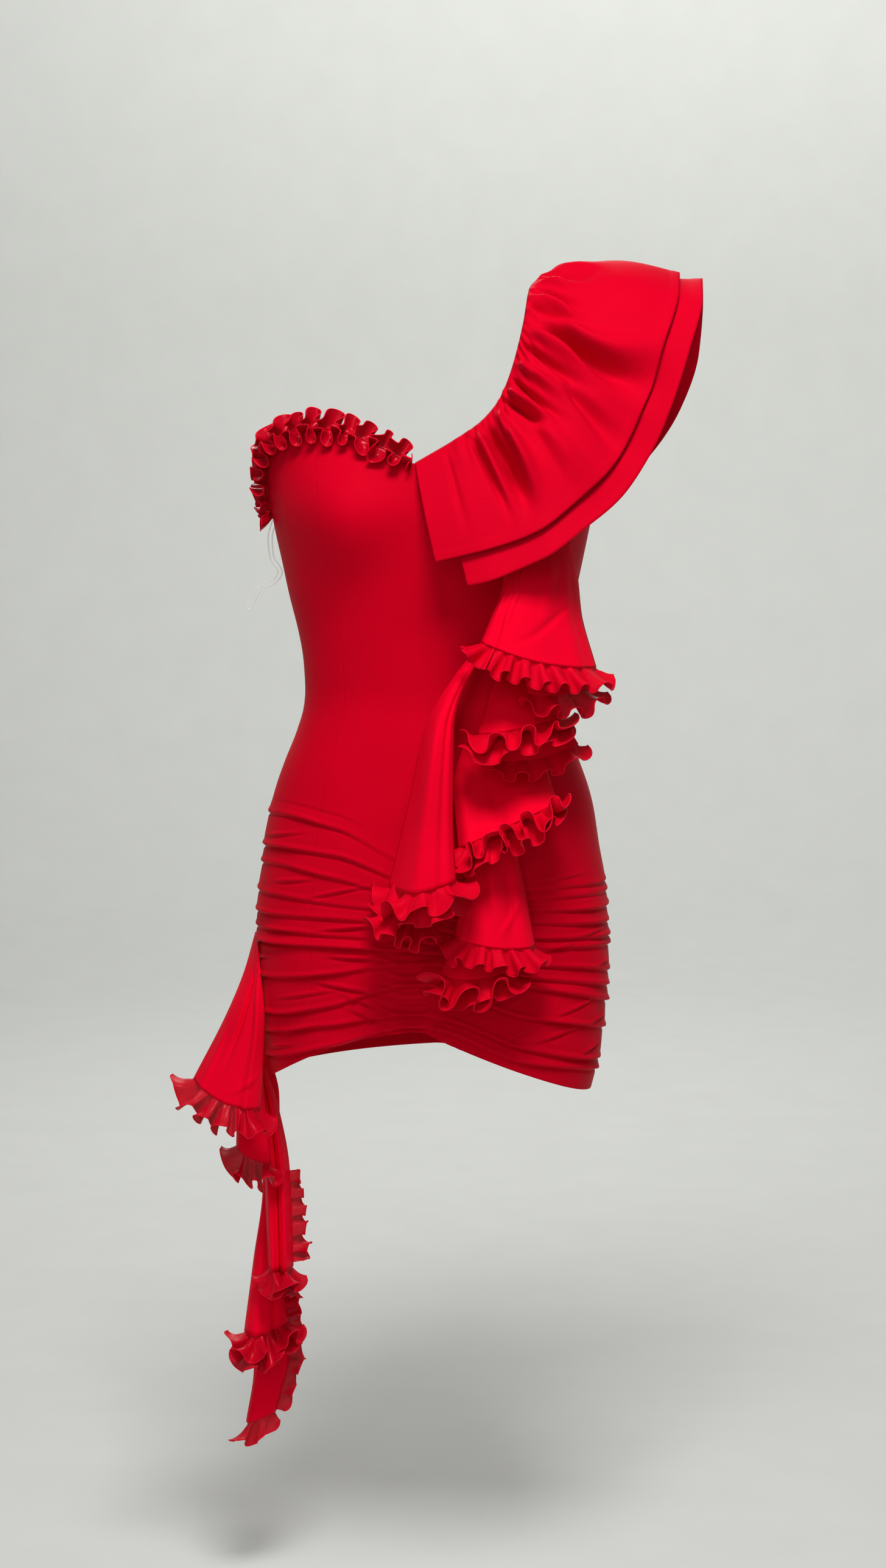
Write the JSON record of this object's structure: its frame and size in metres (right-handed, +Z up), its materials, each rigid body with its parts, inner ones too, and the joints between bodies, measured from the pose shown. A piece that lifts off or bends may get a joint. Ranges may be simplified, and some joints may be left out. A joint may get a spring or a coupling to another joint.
{
  "type": "one-shoulder ruffled mini dress",
  "caption": "Fitted one-shoulder mini dress with a wide double shoulder ruffle, a frilled front cascade, a gathered skirt and a long frilled tail at one hip.",
  "frame": {"origin": "where the dress rests on the wearer's left shoulder: the top of the shoulder seam under the ruffle, midway along the strap", "axes": "+Z up the dress, -Y out of its front, +X to the wearer's left"},
  "size_m": [0.5313, 0.3344, 1.2093],
  "materials": {
    "body_cloth": "smooth satin-faced stretch jersey, bright red",
    "ruffle_cloth": "crisp woven crepe, bright red",
    "frill_cloth": "thin sheer gathered cloth, deep red",
    "clear_tape": "clear elastic tape"
  },
  "bodies": {
    "root": {"back_panel": "body_cloth", "cascade_long_fold": "ruffle_cloth", "cascade_long_turn": "ruffle_cloth", "cascade_tier_1": "ruffle_cloth", "cascade_tier_2": "ruffle_cloth", "cascade_tier_3": "ruffle_cloth", "cascade_tier_4": "ruffle_cloth", "cascade_tier_5": "ruffle_cloth", "cascade_turn_1": "ruffle_cloth", "cascade_turn_2": "ruffle_cloth", "frill_long_fold": "frill_cloth", "frill_long_turn": "frill_cloth", "frill_tier_1": "frill_cloth", "frill_tier_2": "frill_cloth", "frill_tier_3": "frill_cloth", "frill_tier_4": "frill_cloth", "frill_tier_5": "frill_cloth", "frill_turn_1": "frill_cloth", "frill_turn_2": "frill_cloth", "front_panel": "body_cloth", "hanger_tape": "clear_tape", "neck_frill_lower": "frill_cloth", "neck_frill_upper": "frill_cloth", "shoulder_ruffle_under": "ruffle_cloth", "shoulder_ruffle_upper": "ruffle_cloth", "side_front_panel": "body_cloth", "tail_column": "ruffle_cloth", "tail_column_frill": "frill_cloth", "tail_column_side_frill": "frill_cloth", "tail_frill_1": "frill_cloth", "tail_frill_2": "frill_cloth", "tail_long": "ruffle_cloth", "tail_long_frill": "frill_cloth", "tail_long_side_frill": "frill_cloth", "tail_tier_1": "ruffle_cloth", "tail_tier_2": "ruffle_cloth", "tail_tip": "ruffle_cloth", "tail_tip_frill": "frill_cloth", "tail_tip_side_frill": "frill_cloth"}
  },
  "joints": []
}
